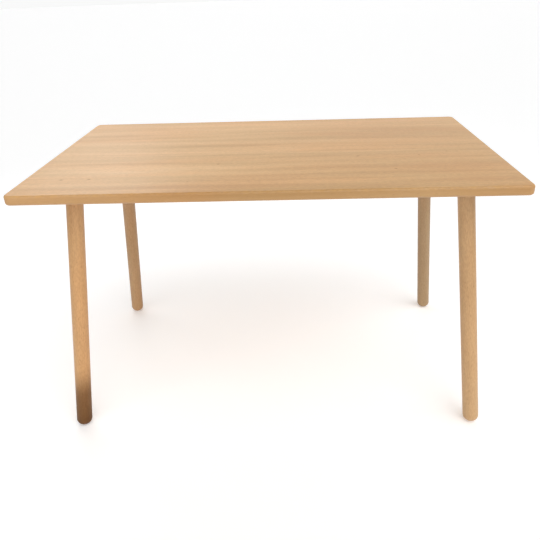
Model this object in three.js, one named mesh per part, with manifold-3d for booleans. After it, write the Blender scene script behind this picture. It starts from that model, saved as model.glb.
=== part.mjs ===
// Miniature dining table: a thin board on four splayed round legs. A blind dowel pin
// holds each leg, half of it in the board's underside and half in the leg's top.
//
// Millimetres, +Z up. +X runs along the board's length, and +Y towards its back edge.
// The origin is on the floor, under the middle of the board.

import * as THREE from 'three';
import { mergeVertices } from 'three/addons/utils/BufferGeometryUtils.js';
import Module from 'manifold-3d';

const wasm = await Module();
wasm.setup();

// Driving dimensions: the table as a whole
const tableLength = 210;
const tableDepth = 122.4;
const tableHeight = 125;

// The board
const boardThickness = 4.2;
const boardCornerRadius = 2.8; // in plan
const boardArrisRadius = 1; // along every edge, above and below

// The legs, each placed by the two points that its axis passes through
const legDiameter = 7.4;
const legTopX = 84.4; // at the board's underside
const legTopY = 39;
const legFootX = 97; // at the floor
const legFootY = 53.5;
const footRimRadius = 3;

// The pinned joints
const pinDiameter = 3;
const pinLengthInBoard = 2.3;
const pinLengthInLeg = 7.7;
const pinChamfer = 0.4;
const pinSideClearance = 0.15;
const pinEndClearance = 0.3;
const glueLine = 0.1; // between a leg's top and the board

// Fineness of the round shapes
const cornerSegments = 8;
const arrisSegments = 6;
const footRimSegments = 8;
const legSegments = 40;
const pinSegments = 24;

// Worked-out dimensions
const undersideHeight = tableHeight - boardThickness;
const legRadius = legDiameter / 2;
const pinRadius = pinDiameter / 2;
const holeRadius = pinRadius + pinSideClearance;

const down = new THREE.Vector3(0, 0, -1);

const corners = [
  { name: 'front_left', sideX: -1, sideY: -1 },
  { name: 'front_right', sideX: 1, sideY: -1 },
  { name: 'back_left', sideX: -1, sideY: 1 },
  { name: 'back_right', sideX: 1, sideY: 1 },
];

// Materials: pale, oiled beech. The legs are a little redder than the board.
function wood(color, roughness) {
  return new THREE.MeshStandardMaterial({ color, roughness, metalness: 0 });
}

const boardColor = 0xdab88c;
const legColor = 0xcfa176;
const pinColor = 0xd9b68e;
const finishedRoughness = 0.45;
const bareRoughness = 0.8;

// Closed geometry to solid. Triangles that shrink to a line at a lathe's axis are left out.
function toSolid(geometry) {
  const bare = geometry.clone();
  bare.deleteAttribute('normal');
  bare.deleteAttribute('uv');
  const merged = mergeVertices(bare);
  const index = merged.index.array;
  const triangles = [];
  for (let i = 0; i < index.length; i += 3) {
    const [a, b, c] = index.slice(i, i + 3);
    if (a !== b && b !== c && c !== a) {
      triangles.push(a, b, c);
    }
  }
  const mesh = new wasm.Mesh({
    numProp: 3,
    vertProperties: merged.attributes.position.array,
    triVerts: new Uint32Array(triangles),
  });
  return new wasm.Manifold(mesh);
}

// Solid back to geometry, with flat facets
function toGeometry(solid) {
  const mesh = solid.getMesh();
  const geometry = new THREE.BufferGeometry();
  geometry.setAttribute('position', new THREE.BufferAttribute(mesh.vertProperties, 3));
  geometry.setIndex(new THREE.BufferAttribute(mesh.triVerts, 1));
  const faceted = geometry.toNonIndexed();
  faceted.computeVertexNormals();
  return faceted;
}

// A turned shape about the Z axis. The profile is [radius, height] points, lowest first.
function turned(profile, segments) {
  const points = profile.map(([radius, height]) => new THREE.Vector2(radius, height));
  const geometry = new THREE.LatheGeometry(points, segments);
  geometry.rotateX(Math.PI / 2);
  return geometry;
}

// The frame of one joint: its origin is where the leg's axis meets the underside, and its
// -Z runs down the leg.
function jointFrame({ sideX, sideY }) {
  const top = new THREE.Vector3(sideX * legTopX, sideY * legTopY, undersideHeight);
  const foot = new THREE.Vector3(sideX * legFootX, sideY * legFootY, 0);
  const frame = new THREE.Group();
  frame.position.copy(top);
  frame.quaternion.setFromUnitVectors(down, foot.sub(top).normalize());
  frame.updateMatrixWorld();
  return frame;
}

// How far down its axis a leg ends, so that the lowest point of its rim is on the floor
function legReach() {
  const run = Math.hypot(legFootX - legTopX, legFootY - legTopY);
  const splay = Math.atan2(run, undersideHeight);
  const rimDrop = (legRadius - footRimRadius) * Math.sin(splay);
  const rimRise = footRimRadius * (1 - Math.cos(splay));
  return (undersideHeight - rimDrop - rimRise) / Math.cos(splay);
}

// The hole that a pin is glued into, about the joint's axis
function pinHole() {
  const lowest = -(pinLengthInLeg + pinEndClearance);
  const highest = pinLengthInBoard + pinEndClearance;
  const profile = [
    [0, lowest],
    [holeRadius, lowest],
    [holeRadius, highest],
    [0, highest],
  ];
  return turned(profile, pinSegments);
}

// The board: a rounded rectangle with rounded arrises and a blind hole for each pin
function boardOutline() {
  const x = tableLength / 2;
  const y = tableDepth / 2;
  const r = boardCornerRadius;
  const outline = new THREE.Shape();
  outline.absarc(x - r, y - r, r, 0, Math.PI / 2);
  outline.absarc(r - x, y - r, r, Math.PI / 2, Math.PI);
  outline.absarc(r - x, r - y, r, Math.PI, 1.5 * Math.PI);
  outline.absarc(x - r, r - y, r, 1.5 * Math.PI, 2 * Math.PI);
  return outline;
}

function boardGeometry(joints) {
  const blank = new THREE.ExtrudeGeometry(boardOutline(), {
    depth: boardThickness - 2 * boardArrisRadius,
    curveSegments: cornerSegments,
    bevelThickness: boardArrisRadius,
    bevelSize: boardArrisRadius,
    bevelOffset: -boardArrisRadius,
    bevelSegments: arrisSegments,
  });
  blank.translate(0, 0, undersideHeight + boardArrisRadius);
  let board = toSolid(blank);
  for (const joint of joints) {
    board = board.subtract(toSolid(pinHole().applyMatrix4(joint.matrixWorld)));
  }
  return toGeometry(board);
}

// A leg in its joint's frame: a straight dowel with a rounded foot, mitred so that its top
// lies flat under the board, and bored for its pin
function legGeometry(joint) {
  const footEnd = -legReach();
  const profile = [[0, footEnd]];
  for (let i = 0; i <= footRimSegments; i += 1) {
    const angle = (i / footRimSegments) * (Math.PI / 2);
    profile.push([
      legRadius - footRimRadius + footRimRadius * Math.sin(angle),
      footEnd + footRimRadius * (1 - Math.cos(angle)),
    ]);
  }
  profile.push([legRadius, legDiameter], [0, legDiameter]);

  const offcutSize = 4 * legDiameter;
  const offcut = new THREE.BoxGeometry(offcutSize, offcutSize, offcutSize);
  offcut.translate(0, 0, offcutSize / 2 - glueLine);
  offcut.applyQuaternion(joint.quaternion.clone().invert());

  const dowel = toSolid(turned(profile, legSegments));
  return toGeometry(dowel.subtract(toSolid(offcut)).subtract(toSolid(pinHole())));
}

// A pin in its joint's frame: a short dowel with chamfered ends
function pinGeometry() {
  const profile = [
    [0, -pinLengthInLeg],
    [pinRadius - pinChamfer, -pinLengthInLeg],
    [pinRadius, pinChamfer - pinLengthInLeg],
    [pinRadius, pinLengthInBoard - pinChamfer],
    [pinRadius - pinChamfer, pinLengthInBoard],
    [0, pinLengthInBoard],
  ];
  return toGeometry(toSolid(turned(profile, pinSegments)));
}

function namedMesh(name, geometry, material) {
  const mesh = new THREE.Mesh(geometry, material);
  mesh.name = name;
  return mesh;
}

// Assembly
const table = new THREE.Group();
const joints = corners.map(jointFrame);

table.add(namedMesh('table_board', boardGeometry(joints), wood(boardColor, finishedRoughness)));

corners.forEach(({ name }, i) => {
  const joint = joints[i];
  joint.add(namedMesh(`leg_${name}`, legGeometry(joint), wood(legColor, finishedRoughness)));
  joint.add(namedMesh(`dowel_pin_${name}`, pinGeometry(), wood(pinColor, bareRoughness)));
  table.add(joint);
});

export default table;
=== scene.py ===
"""Looks of a miniature beech dining table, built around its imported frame.

Metres, +Z up, +X along the board. Every piece is remade here as a fine mesh in the place of
its CAD solid, and gets a wood that is grown in three dimensions: one field of growth rings,
fibres and ray flecks shows as long grain on the faces and as arcs on the end grain.
"""

import math

import bmesh
import bpy
from mathutils import Matrix, Vector


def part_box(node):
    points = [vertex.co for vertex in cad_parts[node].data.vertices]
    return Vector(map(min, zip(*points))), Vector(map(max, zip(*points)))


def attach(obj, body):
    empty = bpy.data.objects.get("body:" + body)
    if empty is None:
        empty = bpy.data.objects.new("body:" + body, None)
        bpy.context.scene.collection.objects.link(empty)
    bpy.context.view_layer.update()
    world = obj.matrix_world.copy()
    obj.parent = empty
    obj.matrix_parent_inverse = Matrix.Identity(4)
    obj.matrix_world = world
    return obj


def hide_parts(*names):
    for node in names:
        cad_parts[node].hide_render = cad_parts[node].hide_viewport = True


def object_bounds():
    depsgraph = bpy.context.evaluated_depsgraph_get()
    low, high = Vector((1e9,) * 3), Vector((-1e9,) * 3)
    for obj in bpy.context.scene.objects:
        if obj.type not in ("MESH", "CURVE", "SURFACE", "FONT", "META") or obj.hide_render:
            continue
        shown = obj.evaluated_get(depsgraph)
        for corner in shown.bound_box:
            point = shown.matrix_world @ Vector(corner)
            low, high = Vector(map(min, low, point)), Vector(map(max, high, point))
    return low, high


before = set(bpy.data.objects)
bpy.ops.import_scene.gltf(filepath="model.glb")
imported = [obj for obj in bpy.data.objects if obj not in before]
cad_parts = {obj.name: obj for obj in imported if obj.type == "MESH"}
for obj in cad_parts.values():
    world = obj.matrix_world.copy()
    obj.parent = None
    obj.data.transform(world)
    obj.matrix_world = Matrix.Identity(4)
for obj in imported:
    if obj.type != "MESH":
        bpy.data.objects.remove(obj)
cad_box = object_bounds()

BODY = "root"
CORNERS = ("front_left", "front_right", "back_left", "back_right")
MM = 0.001

# ---------------------------------------------------------------------------------------
# Sizes: those that the frame's boxes don't give are the table's own driving dimensions
# ---------------------------------------------------------------------------------------

BOARD_LOW, BOARD_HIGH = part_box("table_board")
TABLE_LENGTH = BOARD_HIGH.x - BOARD_LOW.x
UNDERSIDE = BOARD_LOW.z
PLAN_CORNER_RADIUS = 2.8 * MM
ARRIS_RADIUS = 1.0 * MM

LEG_RADIUS = 3.7 * MM
FOOT_RIM_RADIUS = 3.0 * MM

PIN_RADIUS = 1.5 * MM
PIN_IN_BOARD = 2.3 * MM
PIN_IN_LEG = 7.7 * MM
PIN_CHAMFER = 0.4 * MM
FLUTE_DEPTH = 0.12 * MM
FLUTES = 12
HOLE_RADIUS = 1.65 * MM
HOLE_END_GAP = 0.3 * MM

# Fineness of the round shapes
TURNED_SIDES = 96
ARRIS_STEPS = 12
PLAN_CORNER_STEPS = 20
EDGE_STEP = 3.0 * MM
WALL_STEP = 3.0 * MM
FOOT_STEPS = 20
SHARP_ANGLE = math.radians(35)


# ---------------------------------------------------------------------------------------
# Meshes
# ---------------------------------------------------------------------------------------

def finished(name, build, wear_of, matrix=Matrix.Identity(4), shift=Vector((0, 0, 0))):
    """A mesh object from a bmesh in a local frame whose X runs along the grain.

    It faces outwards, and is smooth but for its sharp edges. The matrix takes it to its place
    on the table. Its attributes are the place in the wood, in millimetres, moved by shift so
    that no two pieces are alike, and the wear, from 0 to 1, that wear_of gives for a point."""
    bmesh.ops.recalc_face_normals(build, faces=build.faces)
    mesh = bpy.data.meshes.new(name)
    build.to_mesh(mesh)
    build.free()
    mesh.polygons.foreach_set("use_smooth", [True] * len(mesh.polygons))
    mesh.set_sharp_from_angle(angle=SHARP_ANGLE)
    wear = mesh.attributes.new("wear", "FLOAT", "POINT")
    wear.data.foreach_set("value", [wear_of(vertex.co) for vertex in mesh.vertices])
    place = mesh.attributes.new("place", "FLOAT_VECTOR", "POINT")
    for datum, vertex in zip(place.data, mesh.vertices):
        datum.vector = vertex.co / MM + shift
    mesh.transform(matrix)
    obj = bpy.data.objects.new(name, mesh)
    bpy.context.scene.collection.objects.link(obj)
    return obj


def bridge(build, ring_a, ring_b):
    """Joins two rings of the same count with quads, or a ring and a point with triangles."""
    count = max(len(ring_a), len(ring_b))
    for i in range(count):
        j = (i + 1) % count
        if len(ring_a) == 1:
            build.faces.new((ring_a[0], ring_b[i], ring_b[j]))
        elif len(ring_b) == 1:
            build.faces.new((ring_a[i], ring_b[0], ring_a[j]))
        else:
            build.faces.new((ring_a[i], ring_b[i], ring_b[j], ring_a[j]))


def skin(build, rings):
    """Adds a run of rings, each a list of points, and joins each to the next."""
    made = [[build.verts.new(point) for point in ring] for ring in rings]
    for ring_a, ring_b in zip(made, made[1:]):
        bridge(build, ring_a, ring_b)
    return made


def turned_ring(radius_at, reach_at):
    """A ring about the X axis. Both arguments give a length for an angle."""
    ring = []
    for i in range(TURNED_SIDES):
        angle = 2 * math.pi * i / TURNED_SIDES
        radius = radius_at(angle)
        y, z = radius * math.cos(angle), radius * math.sin(angle)
        ring.append(Vector((reach_at(y, z), y, z)))
    return ring


def even_ring(radius, reach):
    return turned_ring(lambda angle: radius, lambda y, z: reach)


def pole(reach):
    return [Vector((reach, 0, 0))]


class Joint:
    """Where a leg's axis meets the underside, and the local frame whose +X runs down the leg."""

    def __init__(self, corner):
        pin_low, pin_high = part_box(f"dowel_pin_{corner}")
        leg_low, leg_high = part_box(f"leg_{corner}")
        pin_middle = (pin_low + pin_high) / 2
        foot = Vector((
            leg_high.x - LEG_RADIUS if pin_middle.x > 0 else leg_low.x + LEG_RADIUS,
            leg_high.y - LEG_RADIUS if pin_middle.y > 0 else leg_low.y + LEG_RADIUS,
            FOOT_RIM_RADIUS,
        ))
        self.down = (foot - pin_middle).normalized()
        self.place = pin_middle + self.down * ((UNDERSIDE - pin_middle.z) / self.down.z)
        across = self.down.cross(Vector((0, 0, 1))).normalized()
        axes = Matrix((self.down, across, self.down.cross(across))).transposed()
        self.matrix = Matrix.Translation(self.place) @ axes.to_4x4()
        self.up = axes.transposed() @ Vector((0, 0, 1))
        tilt = math.acos(-self.down.z)
        rim_drop = (LEG_RADIUS - FOOT_RIM_RADIUS) * math.sin(tilt)
        rim_rise = FOOT_RIM_RADIUS * (1 - math.cos(tilt))
        self.leg_reach = (UNDERSIDE - rim_drop - rim_rise) / math.cos(tilt)

    def mitre(self, y, z):
        """How far along the leg the horizontal plane of the underside is, at y and z."""
        return -(self.up.y * y + self.up.z * z) / self.up.x


def leg_piece(corner, joint, shift):
    """A straight dowel, mitred at the top, bored for its pin and rounded at the foot."""
    bore_end = PIN_IN_LEG + HOLE_END_GAP
    rings = [
        pole(bore_end),
        even_ring(HOLE_RADIUS, bore_end),
        turned_ring(lambda angle: HOLE_RADIUS, joint.mitre),
        turned_ring(lambda angle: LEG_RADIUS, joint.mitre),
    ]
    wall_end = joint.leg_reach - FOOT_RIM_RADIUS
    wall_rings = round(wall_end / WALL_STEP)
    rings += [even_ring(LEG_RADIUS, wall_end * i / wall_rings) for i in range(1, wall_rings)]
    for i in range(FOOT_STEPS + 1):
        angle = math.pi / 2 * i / FOOT_STEPS
        radius = LEG_RADIUS - FOOT_RIM_RADIUS * (1 - math.cos(angle))
        rings.append(even_ring(radius, wall_end + FOOT_RIM_RADIUS * math.sin(angle)))
    rings.append(pole(joint.leg_reach))

    build = bmesh.new()
    skin(build, rings)

    def wear(point):
        return min(1.0, max(0.0, (point.x - wall_end) / FOOT_RIM_RADIUS))

    return finished(f"turned_leg_{corner}", build, wear, joint.matrix, shift)


def pin_piece(corner, joint, shift):
    """A short fluted dowel with chamfered ends."""
    def fluted(angle):
        return PIN_RADIUS - FLUTE_DEPTH * (0.5 - 0.5 * math.cos(FLUTES * angle)) ** 2

    def wall(reach):
        return turned_ring(fluted, lambda y, z: reach)

    build = bmesh.new()
    skin(build, [
        pole(-PIN_IN_BOARD),
        even_ring(PIN_RADIUS - PIN_CHAMFER, -PIN_IN_BOARD),
        wall(PIN_CHAMFER - PIN_IN_BOARD),
        wall(PIN_IN_LEG - PIN_CHAMFER),
        even_ring(PIN_RADIUS - PIN_CHAMFER, PIN_IN_LEG),
        pole(PIN_IN_LEG),
    ])
    return finished(f"fluted_pin_{corner}", build, lambda point: 0.0, joint.matrix, shift)


def board_ring(inset, height):
    """The board's outline, drawn in by inset, as points at one height."""
    half_x = TABLE_LENGTH / 2
    half_y = (BOARD_HIGH.y - BOARD_LOW.y) / 2
    radius = PLAN_CORNER_RADIUS - inset
    ring = []
    for quarter, (side_x, side_y) in enumerate(((1, 1), (-1, 1), (-1, -1), (1, -1))):
        centre_x = side_x * (half_x - PLAN_CORNER_RADIUS)
        centre_y = side_y * (half_y - PLAN_CORNER_RADIUS)
        for i in range(PLAN_CORNER_STEPS + 1):
            angle = math.pi / 2 * (quarter + i / PLAN_CORNER_STEPS)
            x = centre_x + radius * math.cos(angle)
            y = centre_y + radius * math.sin(angle)
            ring.append(Vector((x, y, height)))
    return with_points_on_long_edges(ring)


def with_points_on_long_edges(ring):
    """The ring with its straight stretches divided into steps of about EDGE_STEP."""
    divided = []
    for start, end in zip(ring, ring[1:] + ring[:1]):
        divided.append(start)
        steps = round((end - start).length / EDGE_STEP)
        divided += [start.lerp(end, i / steps) for i in range(1, steps)]
    return divided


def closed_edges(ring):
    """The edges of a closed ring of vertices."""
    return [edge_between(*pair) for pair in zip(ring, ring[1:] + ring[:1])]


def edge_between(vertex_a, vertex_b):
    return next(edge for edge in vertex_a.link_edges if edge.other_vert(vertex_a) == vertex_b)


def board_piece(joints):
    """The board: rounded arrises above and below, and a blind hole for each pin."""
    top = BOARD_HIGH.z
    quarter = [math.pi / 2 * i / ARRIS_STEPS for i in range(ARRIS_STEPS + 1)]
    upper = [
        (ARRIS_RADIUS * (1 - math.sin(a)), top - ARRIS_RADIUS * (1 - math.cos(a)))
        for a in quarter
    ]
    lower = [(inset, UNDERSIDE + top - height) for inset, height in reversed(upper)]
    rings = [board_ring(inset, height) for inset, height in upper + lower]

    build = bmesh.new()
    outside = skin(build, rings)
    hole_rims = [hole_in_board(build, joint) for joint in joints]
    caps = (
        (closed_edges(outside[0]), (0, 0, 1)),
        (sum((closed_edges(rim) for rim in [outside[-1], *hole_rims]), []), (0, 0, -1)),
    )
    for edges, normal in caps:
        bmesh.ops.triangle_fill(build, use_beauty=True, edges=edges, normal=normal)

    def wear(point):
        in_x = TABLE_LENGTH / 2 - abs(point.x)
        in_y = (BOARD_HIGH.y - BOARD_LOW.y) / 2 - abs(point.y)
        in_z = min(top - point.z, point.z - UNDERSIDE)
        near_side = max(0.0, 1 - min(in_x, in_y) / ARRIS_RADIUS)
        near_face = max(0.0, 1 - in_z / ARRIS_RADIUS)
        return min(1.0, 2 * math.sqrt(near_side * near_face))

    return finished("solid_board", build, wear)


def hole_in_board(build, joint):
    """A blind hole along a joint's axis. Returns its rim, which lies in the underside."""
    hole_end = -(PIN_IN_BOARD + HOLE_END_GAP)
    rings = [
        pole(hole_end),
        even_ring(HOLE_RADIUS, hole_end),
        turned_ring(lambda angle: HOLE_RADIUS, joint.mitre),
    ]
    made = skin(build, [[joint.matrix @ point for point in ring] for ring in rings])
    return made[-1]


# ---------------------------------------------------------------------------------------
# Wood
# ---------------------------------------------------------------------------------------

class Shader:
    """A material's node tree, filled by short calls that return sockets."""

    def __init__(self, name):
        self.material = bpy.data.materials.new(name)
        self.material.use_nodes = True
        self.tree = self.material.node_tree
        self.tree.nodes.clear()

    def node(self, kind, inputs, **settings):
        made = self.tree.nodes.new(kind)
        for key, value in settings.items():
            setattr(made, key, value)
        for key, value in inputs.items():
            if isinstance(value, bpy.types.NodeSocket):
                self.tree.links.new(value, made.inputs[key])
            else:
                made.inputs[key].default_value = value
        return made

    def math(self, operation, a, b=0.0, c=0.0, clamp=False):
        return self.node(
            "ShaderNodeMath", {0: a, 1: b, 2: c}, operation=operation, use_clamp=clamp
        ).outputs[0]

    def vector(self, operation, a, b=(0, 0, 0)):
        made = self.node("ShaderNodeVectorMath", {0: a, 1: b}, operation=operation)
        return made.outputs["Value" if operation in ("LENGTH", "DISTANCE") else "Vector"]

    def span(self, value, low, high, to_low=0.0, to_high=1.0):
        """A smooth step from to_low to to_high as value goes from low to high."""
        return self.node(
            "ShaderNodeMapRange",
            {"Value": value, "From Min": low, "From Max": high, "To Min": to_low, "To Max": to_high},
            interpolation_type="SMOOTHSTEP",
        ).outputs["Result"]

    def noise(self, vector, detail=2.0, roughness=0.5):
        return self.node(
            "ShaderNodeTexNoise",
            {"Vector": vector, "Scale": 1.0, "Detail": detail, "Roughness": roughness},
        )

    def mix(self, factor, a, b, blend="MIX"):
        made = self.node(
            "ShaderNodeMix", {0: factor, 6: a, 7: b}, data_type="RGBA", blend_type=blend
        )
        return made.outputs[2]

    def combine(self, x, y, z):
        return self.node("ShaderNodeCombineXYZ", {0: x, 1: y, 2: z}).outputs[0]

    def separate(self, vector):
        return self.node("ShaderNodeSeparateXYZ", {0: vector}).outputs


def rgb(red, green, blue):
    return (red, green, blue, 1.0)


class Timber:
    """The colours and the growth of one piece of beech. Lengths are millimetres."""

    def __init__(self, pale, deep, fleck, fleck_strength, mottle, pith, ring_width, streak_length):
        self.pale = pale
        self.deep = deep
        self.fleck = fleck
        self.fleck_strength = fleck_strength
        self.mottle = mottle
        self.pith = pith
        self.ring_width = ring_width
        self.streak_length = streak_length


BOARD_TIMBER = Timber(
    pale=rgb(0.69, 0.42, 0.17),
    deep=rgb(0.52, 0.285, 0.09),
    fleck=rgb(0.34, 0.172, 0.058),
    fleck_strength=0.22,
    mottle=rgb(0.885, 0.87, 0.845),
    pith=(0.0, 96.0, 52.0),
    ring_width=3.4,
    streak_length=110.0,
)


def leg_timber(red, green, blue):
    """A dowel's timber. The arguments are its mean colour."""
    return Timber(
        pale=rgb(1.09 * red, 1.10 * green, 1.12 * blue),
        deep=rgb(0.84 * red, 0.80 * green, 0.74 * blue),
        fleck=rgb(0.60 * red, 0.52 * green, 0.44 * blue),
        fleck_strength=0.50,
        mottle=rgb(0.90, 0.88, 0.85),
        pith=(0.0, 31.0, -22.0),
        ring_width=1.9,
        streak_length=60.0,
    )


# Mean colours of the dowels, partly each dowel's own tone and partly painted light: the back legs
# are darker with painted shade from the board, the back right is greyer with painted cool shade, and
# the front right is bluer with painted sheen
LEG_TIMBERS_AND_SHADE = {
    "front_left": leg_timber(0.60, 0.35, 0.155),
    "front_right": leg_timber(0.56, 0.36, 0.18),
    "back_left": leg_timber(0.46, 0.275, 0.13),
    "back_right": leg_timber(0.38, 0.25, 0.128),
}
LEG_SHIFT = Vector((173.0, 0.0, 0.0))

# Features of the board's top, in millimetres on the table
# x, y, half length, half width, darkness (negative where it is paler)
TOP_STREAKS_AND_PAINTED_LIGHT = (
    (-88, 32, 38, 6.0, 0.50),
    (76, 33, 42, 7.0, 0.35),
    (-27, 7, 44, 3.5, 0.50),
    (38, 19, 46, 2.6, 0.35),
    (10, -10, 130, 1.8, 0.40),
    (62, -7, 46, 1.5, -0.45),
    (-70, -21, 46, 1.6, 0.25),
    # Painted sheen: a paler zone over the front left
    (-60, -33, 75, 11.0, -0.75),
    (42, -41, 80, 6.0, 0.45),
    (-46, -53, 74, 5.0, 0.35),
    # A darker strip along the front edge
    (0, -59, 80, 9.0, 0.75),
    # Painted shade: the right half of the top made darker
    (95, 0, 130, 95, 0.45),
    # Painted shade: the back left corner made darker
    (-92, 54, 62, 17, 0.55),
)
# x, y, size
TOP_KNOTS = (
    (-88, -42, 1.5),
    (-76, -42, 1.4),
    (-23, -24, 1.2),
    (-57, 24, 0.7),
    (-33, -48, 0.9),
    (55, -36, 1.2),
    (69, -16, 0.9),
    (41, -16, 1.3),
    (83, -11, 0.8),
    (63, 38, 0.8),
)


# Fineness of the wood's features: steps to a millimetre, along the grain and twice across it
BEND_SCALE = (0.009, 0.02, 0.02)
FIBRE_SCALE = (0.12, 3.4, 3.4)
FLECK_SCALE = (0.42, 1.7, 1.7)
MOTTLE_SCALE = (0.6, 2.2, 2.2)
BLOTCH_SCALE = (0.013, 0.07, 0.07)
WAVER_SCALE = (0.03, 0.16, 0.16)
DARK_FOOT_SCALE = (0.22, 0.5, 0.5)
SCUFF_SCALE = (0.35, 0.9, 0.9)

# How far the bends of the grain and the wavering of the streaks go, in millimetres
BEND_REACH = (0.0, 5.0, 5.0)
WAVER_REACH = (30.0, 3.0, 0.0)

# Colours, and the tints that they are multiplied by
KNOT_COLOUR = rgb(0.20, 0.105, 0.045)
# Painted shade on the board's edges and underside
EDGE_SHADE_TINT = rgb(0.84, 0.845, 0.94)
BLOTCH_TINT = rgb(1.02, 0.95, 0.88)
# Wear on the arrises and feet, partly a painted highlight along the arrises
RUBBED_AND_HIGHLIGHT_TINT = rgb(0.98, 1.02, 1.30)

# The finish
SHINE = 0.5
DARK_FOOT_SHINE = 0.1
SMOOTHEST = 0.38
RELIEF_DEPTH = 0.03 * MM
RELIEF_STRENGTH = 0.35

# One foot, darker towards its end: lengths in millimetres
DARK_FOOT_CORNER = "front_left"
DARK_FOOT_TINT = rgb(0.20, 0.15, 0.105)
DARK_FOOT_HEIGHT = 22.5
DARK_FOOT_FADE = 18.0
DARK_FOOT_SLANT = 0.7
DARK_FOOT_RAGGEDNESS = 3.0


def grow(shader, timber, place):
    """Beech's features at a place in millimetres with X along the grain.

    Returns sockets from 0 to 1: how dark the growth makes it, fibres, flecks, mottle and
    blotches."""
    bend = shader.noise(shader.vector("MULTIPLY", place, BEND_SCALE), detail=1.5)
    bend = shader.vector("SUBTRACT", bend.outputs["Color"], (0.5, 0.5, 0.5))
    bend = shader.vector("MULTIPLY", bend, BEND_REACH)
    bent = shader.vector("ADD", place, bend)
    from_pith = shader.vector("MULTIPLY", shader.vector("SUBTRACT", bent, timber.pith), (0, 1, 1))
    radius = shader.vector("LENGTH", from_pith)
    along, _, height = shader.separate(place)

    year = shader.node(
        "ShaderNodeTexNoise", {"W": shader.math("MULTIPLY", radius, 0.11), "Detail": 1.0},
        noise_dimensions="1D",
    ).outputs["Fac"]
    rings = shader.math("DIVIDE", radius, timber.ring_width)
    rings = shader.math("MULTIPLY_ADD", year, 3.0, rings)
    season = shader.math("FRACT", rings)
    late = shader.math(
        "MULTIPLY", shader.span(season, 0.35, 0.93), shader.span(season, 1.0, 0.93)
    )

    streak_place = shader.combine(
        shader.math("DIVIDE", along, timber.streak_length),
        shader.math("MULTIPLY", radius, 0.24),
        shader.math("MULTIPLY", height, 0.03),
    )
    streaks = shader.noise(streak_place, detail=4.0, roughness=0.58).outputs["Fac"]
    broad_place = shader.combine(
        shader.math("DIVIDE", along, 1.8 * timber.streak_length),
        shader.math("MULTIPLY", radius, 0.085),
        shader.math("MULTIPLY", height, 0.01),
    )
    broad = shader.noise(broad_place, detail=1.0).outputs["Fac"]
    growth = shader.math("MULTIPLY", shader.span(streaks, 0.30, 0.72), 0.56)
    growth = shader.math("MULTIPLY_ADD", shader.span(broad, 0.3, 0.7), 0.3, growth)
    growth = shader.math("MULTIPLY_ADD", late, 0.12, growth)

    fibre_place = shader.vector("MULTIPLY", bent, FIBRE_SCALE)
    fibres = shader.noise(fibre_place, detail=2.0, roughness=0.6).outputs["Fac"]

    cell = shader.node(
        "ShaderNodeTexVoronoi",
        {"Vector": shader.vector("MULTIPLY", bent, FLECK_SCALE), "Scale": 1.0},
    )
    chosen = shader.span(shader.separate(cell.outputs["Color"])[0], 0.45, 0.9)
    flecks = shader.math("MULTIPLY", shader.span(cell.outputs["Distance"], 0.34, 0.12), chosen)

    mottle = shader.noise(shader.vector("MULTIPLY", bent, MOTTLE_SCALE), detail=2.0)
    blotches = shader.noise(shader.vector("MULTIPLY", place, BLOTCH_SCALE), detail=2.5)
    return growth, fibres, flecks, mottle.outputs["Fac"], blotches.outputs["Fac"]


def spot(shader, place, centre, reach):
    """1 at a centre, falling to 0 at the ellipsoid with those reaches along X, Y and Z."""
    offset = shader.vector("SUBTRACT", place, centre)
    offset = shader.vector("DIVIDE", offset, reach)
    return shader.span(shader.vector("LENGTH", offset), 1.0, 0.0)


def top_features(shader, place, growth):
    """The growth with the top's own streaks, its painted shade and its painted sheen added, and how
    much of a knot each place is.
    """
    waver = shader.noise(shader.vector("MULTIPLY", place, WAVER_SCALE), detail=3.0)
    waver = shader.vector("SUBTRACT", waver.outputs["Color"], (0.5, 0.5, 0.5))
    waved = shader.vector("ADD", place, shader.vector("MULTIPLY", waver, WAVER_REACH))
    top = BOARD_HIGH.z / MM
    depth = (BOARD_HIGH.z - BOARD_LOW.z) / MM
    for x, y, half_length, half_width, darkness in TOP_STREAKS_AND_PAINTED_LIGHT:
        patch = spot(shader, waved, (x, y, top), (half_length, half_width, depth))
        growth = shader.math("MULTIPLY_ADD", patch, darkness, growth)
    knots = 0.0
    for x, y, size in TOP_KNOTS:
        knot = spot(shader, place, (x, y, top), (size, 0.62 * size, size))
        knots = shader.math("MAXIMUM", knots, knot)
    return growth, knots


def painted_edge_shade(shader, place):
    """0 on the board's top and 1 on its edges and below, where painted shade darkens them."""
    height = shader.separate(place)[2]
    top = BOARD_HIGH.z / MM
    return shader.span(height, top - 0.15, top - 1.3)


def with_dark_foot(shader, place, colour, start):
    """The colour, made darker towards the foot from about start, a place along the grain, and how
    far it is darkened."""
    along, across, _ = shader.separate(place)
    ragged = shader.noise(shader.vector("MULTIPLY", place, DARK_FOOT_SCALE), detail=3.0)
    along = shader.math("MULTIPLY_ADD", ragged.outputs["Fac"], DARK_FOOT_RAGGEDNESS, along)
    along = shader.math("MULTIPLY_ADD", across, -DARK_FOOT_SLANT, along)
    darkening = shader.span(along, start - DARK_FOOT_FADE / 2, start + DARK_FOOT_FADE / 2, 0.0, 0.8)
    deeper = shader.span(along, start, start + 2 * DARK_FOOT_FADE, 0.0, 0.2)
    darkening = shader.math("ADD", darkening, deeper)
    dark = shader.mix(1.0, colour, DARK_FOOT_TINT, "MULTIPLY")
    return shader.mix(darkening, colour, dark), darkening


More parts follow.
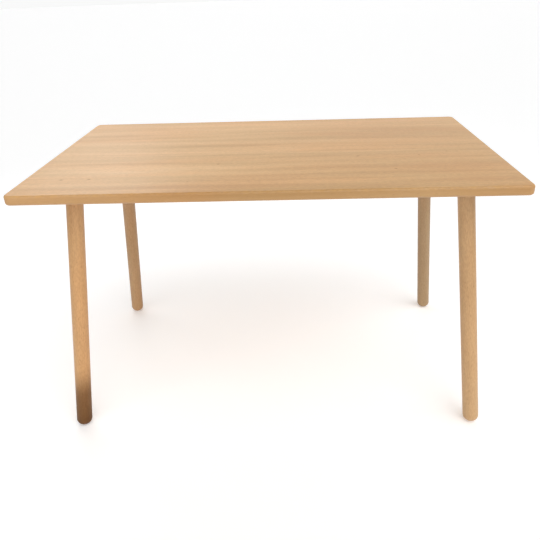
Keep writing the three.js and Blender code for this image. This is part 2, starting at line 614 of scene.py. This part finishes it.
def wood_material(name, timber, is_board=False, dark_foot_start=None):
    """A satin, oiled wood. The board's has the features of its top and painted shade on its edges
    and underside, and a leg's may be darker towards its foot.
    """
    shader = Shader(name)
    place = shader.node("ShaderNodeAttribute", {}, attribute_name="place").outputs["Vector"]
    growth, fibres, flecks, mottle, blotches = grow(shader, timber, place)
    mottled = shader.span(mottle, 0.36, 0.64)
    if is_board:
        growth, knots = top_features(shader, place, growth)
        # Painted shade: a mask that is 1 on the board's edges and underside
        darkening = painted_edge_shade(shader, place)
        mottled = shader.math("MULTIPLY", mottled, shader.math("MULTIPLY_ADD", darkening, -0.7, 1.0))

    colour = shader.mix(shader.math("ADD", growth, 0.0, clamp=True), timber.pale, timber.deep)
    colour = shader.mix(
        shader.math("MULTIPLY", shader.span(fibres, 0.35, 0.75), 0.25), colour, timber.deep
    )
    flecked = shader.math("MULTIPLY", flecks, timber.fleck_strength)
    colour = shader.mix(flecked, colour, timber.fleck)
    dimmer = shader.mix(1.0, colour, timber.mottle, "MULTIPLY")
    colour = shader.mix(mottled, colour, dimmer)
    redder = shader.mix(1.0, colour, BLOTCH_TINT, "MULTIPLY")
    colour = shader.mix(shader.span(blotches, 0.40, 0.66), colour, redder)
    if is_board:
        colour = shader.mix(shader.math("MULTIPLY", knots, 0.55), colour, KNOT_COLOUR)
        # Painted shade: the edges and underside made darker
        edge_shaded = shader.mix(1.0, colour, EDGE_SHADE_TINT, "MULTIPLY")
        colour = shader.mix(darkening, colour, edge_shaded)
    shine = SHINE
    if is_board:
        shine = shader.math("MULTIPLY_ADD", knots, -SHINE, SHINE)
    if dark_foot_start is not None:
        colour, darkening = with_dark_foot(shader, place, colour, dark_foot_start)
        shine = shader.math("MULTIPLY_ADD", darkening, DARK_FOOT_SHINE - SHINE, SHINE)

    wear = shader.node("ShaderNodeAttribute", {}, attribute_name="wear").outputs["Fac"]
    # Paler arrises and feet: partly wear, partly a painted highlight along the arrises
    scuffs = shader.noise(shader.vector("MULTIPLY", place, SCUFF_SCALE), detail=3.0)
    worn_and_highlit = shader.math("MULTIPLY", wear, shader.span(scuffs.outputs["Fac"], 0.3, 0.7))
    rubbed_and_highlit = shader.mix(1.0, colour, RUBBED_AND_HIGHLIGHT_TINT, "MULTIPLY")
    colour = shader.mix(shader.math("MULTIPLY", worn_and_highlit, 0.8), colour, rubbed_and_highlit)

    roughness = shader.math("MULTIPLY_ADD", fibres, 0.12, SMOOTHEST)
    roughness = shader.math("MULTIPLY_ADD", flecks, 0.08, roughness)
    roughness = shader.math("MULTIPLY_ADD", worn_and_highlit, -0.06, roughness)

    relief = shader.math("MULTIPLY_ADD", flecks, -0.6, fibres)
    relief = shader.math("MULTIPLY_ADD", growth, 0.3, relief)
    if is_board:
        relief = shader.math("MULTIPLY_ADD", knots, -2.0, relief)
    bump = shader.node(
        "ShaderNodeBump",
        {"Height": relief, "Strength": RELIEF_STRENGTH, "Distance": RELIEF_DEPTH},
    )
    surface = shader.node(
        "ShaderNodeBsdfPrincipled",
        {
            "Base Color": colour,
            "Roughness": roughness,
            "IOR": 1.5,
            "Specular IOR Level": shine,
            "Normal": bump.outputs["Normal"],
        },
    )
    shader.node("ShaderNodeOutputMaterial", {"Surface": surface.outputs["BSDF"]})
    return shader.material


def dress(obj, material, slot, *nodes):
    """Gives a finished piece its material and its body, and hides the CAD node that it stands for.
    """
    obj.data.materials.append(material)
    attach(obj, BODY)
    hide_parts(*nodes)


# ---------------------------------------------------------------------------------------
# Stage
# ---------------------------------------------------------------------------------------

CAMERA_PLACE = Vector((0.0506, -1.2447, 0.9405)) * TABLE_LENGTH
CAMERA_YAW = math.radians(-1.71)
CAMERA_PITCH = math.radians(25.85)
CAMERA_ROLL = math.radians(-1.75)
CAMERA_LENS = 36.24
CAMERA_SHIFT = (-0.0173, -0.0414)


def add_camera():
    """The camera: its yaw is to the right, its pitch downwards and its roll anticlockwise."""
    data = bpy.data.cameras.new("camera")
    data.sensor_width = 36.0
    data.lens = CAMERA_LENS
    data.shift_x, data.shift_y = CAMERA_SHIFT
    data.clip_start = 0.01
    camera = bpy.data.objects.new("camera", data)
    forward = Vector((
        math.sin(CAMERA_YAW) * math.cos(CAMERA_PITCH),
        math.cos(CAMERA_YAW) * math.cos(CAMERA_PITCH),
        -math.sin(CAMERA_PITCH),
    ))
    level = Vector((math.cos(CAMERA_YAW), -math.sin(CAMERA_YAW), 0))
    upright = level.cross(forward)
    right = level * math.cos(CAMERA_ROLL) + upright * math.sin(CAMERA_ROLL)
    up = upright * math.cos(CAMERA_ROLL) - level * math.sin(CAMERA_ROLL)
    turn = Matrix((right, up, -forward)).transposed().to_4x4()
    camera.matrix_world = Matrix.Translation(CAMERA_PLACE) @ turn
    bpy.context.scene.collection.objects.link(camera)
    bpy.context.scene.camera = camera


# Azimuths and elevations are in degrees: azimuth 0 is the viewer's side, 90 the right and 180
# the back. Strengths are what a white face turned to the light would send back, out of 1.
# The width is that of the part of the sky that a sun fills, in degrees
SUNS = (
    ("sun_room", 0, 90, 180, 0.25),
    ("sun_front", 0, 35, 90, 0.45),
    ("sun_front_right", 45, 50, 60, 0.30),
    ("sun_back", 180, 20, 60, 0.25),
)

SOFT_BOXES = (
    ("box_back_left", 225, 40, 0.25),
    ("box_right", 90, 40, 0.15),
)
BOX_DISTANCE = 1.6 * TABLE_LENGTH
BOX_SIZE = 1.0 * TABLE_LENGTH

BACKGROUND_STRENGTH = 0.95

FLOOR_RADIUS = 40 * TABLE_LENGTH
FLOOR_SIDES = 96
FLOOR_COLOUR = rgb(0.95, 0.95, 0.95)
FLOOR_ROUGHNESS = 0.8
FLOOR_GLOW = 0.20

WHITE = rgb(1.0, 1.0, 1.0)


def add_light(name, kind, azimuth, elevation):
    """A light aimed at the table from a direction. Returns its data."""
    data = bpy.data.lights.new(name, kind)
    light = bpy.data.objects.new(name, data)
    a, e = math.radians(azimuth), math.radians(elevation)
    outwards = Vector((math.sin(a) * math.cos(e), -math.cos(a) * math.cos(e), math.sin(e)))
    light.location = Vector((0, 0, 0.8 * UNDERSIDE)) + outwards * BOX_DISTANCE
    light.rotation_mode = "QUATERNION"
    light.rotation_quaternion = outwards.to_track_quat("Z", "Y")
    light.visible_camera = False
    bpy.context.scene.collection.objects.link(light)
    return data


def add_sun(name, azimuth, elevation, width, strength):
    """A far, soft light."""
    data = add_light(name, "SUN", azimuth, elevation)
    data.angle = math.radians(width)
    data.energy = math.pi * strength


def add_soft_box(name, azimuth, elevation, strength):
    """A near, square light. Its strength is that at the middle of the table."""
    data = add_light(name, "AREA", azimuth, elevation)
    data.shape = "SQUARE"
    data.size = BOX_SIZE
    data.energy = (math.pi * BOX_DISTANCE) ** 2 * strength


def add_world():
    """A white background, which only the camera sees."""
    world = bpy.data.worlds.new("studio")
    world.use_nodes = True
    background = world.node_tree.nodes["Background"]
    background.inputs["Color"].default_value = WHITE
    background.inputs["Strength"].default_value = BACKGROUND_STRENGTH
    bpy.context.scene.world = world
    world.cycles_visibility.diffuse = False
    world.cycles_visibility.glossy = False


def add_floor():
    """A pale disc that the table stands on. It glows a little, which thins the shadows."""
    build = bmesh.new()
    rim = [
        build.verts.new((
            FLOOR_RADIUS * math.cos(2 * math.pi * i / FLOOR_SIDES),
            FLOOR_RADIUS * math.sin(2 * math.pi * i / FLOOR_SIDES),
            cad_box[0].z,
        ))
        for i in range(FLOOR_SIDES)
    ]
    build.faces.new(rim)
    mesh = bpy.data.meshes.new("floor")
    build.to_mesh(mesh)
    build.free()
    floor = bpy.data.objects.new("floor", mesh)
    bpy.context.scene.collection.objects.link(floor)
    shader = Shader("pale_floor")
    surface = shader.node(
        "ShaderNodeBsdfPrincipled",
        {
            "Base Color": FLOOR_COLOUR,
            "Roughness": FLOOR_ROUGHNESS,
            "Emission Color": WHITE,
            "Emission Strength": FLOOR_GLOW,
        },
    )
    shader.node("ShaderNodeOutputMaterial", {"Surface": surface.outputs["BSDF"]})
    mesh.materials.append(shader.material)


# ---------------------------------------------------------------------------------------
# The table
# ---------------------------------------------------------------------------------------

add_camera()
joints = [Joint(corner) for corner in CORNERS]

board_wood = wood_material("beech_board", BOARD_TIMBER, is_board=True)
pin_wood = wood_material("beech_pin", BOARD_TIMBER)

dress(board_piece(joints), board_wood, "board_wood", "table_board")
for number, (corner, joint) in enumerate(zip(CORNERS, joints)):
    shift = (number + 1) * LEG_SHIFT
    dark_foot_start = None
    if corner == DARK_FOOT_CORNER:
        dark_foot_start = shift.x + joint.leg_reach / MM - DARK_FOOT_HEIGHT
    leg_wood = wood_material(f"beech_{corner}", LEG_TIMBERS_AND_SHADE[corner], dark_foot_start=dark_foot_start)
    dress(leg_piece(corner, joint, shift), leg_wood, "leg_wood", f"leg_{corner}")
    dress(pin_piece(corner, joint, shift), pin_wood, "pin_wood", f"dowel_pin_{corner}")

for sun in SUNS:
    add_sun(*sun)
for box in SOFT_BOXES:
    add_soft_box(*box)
add_world()
add_floor()
bpy.context.scene.view_settings.view_transform = "Standard"
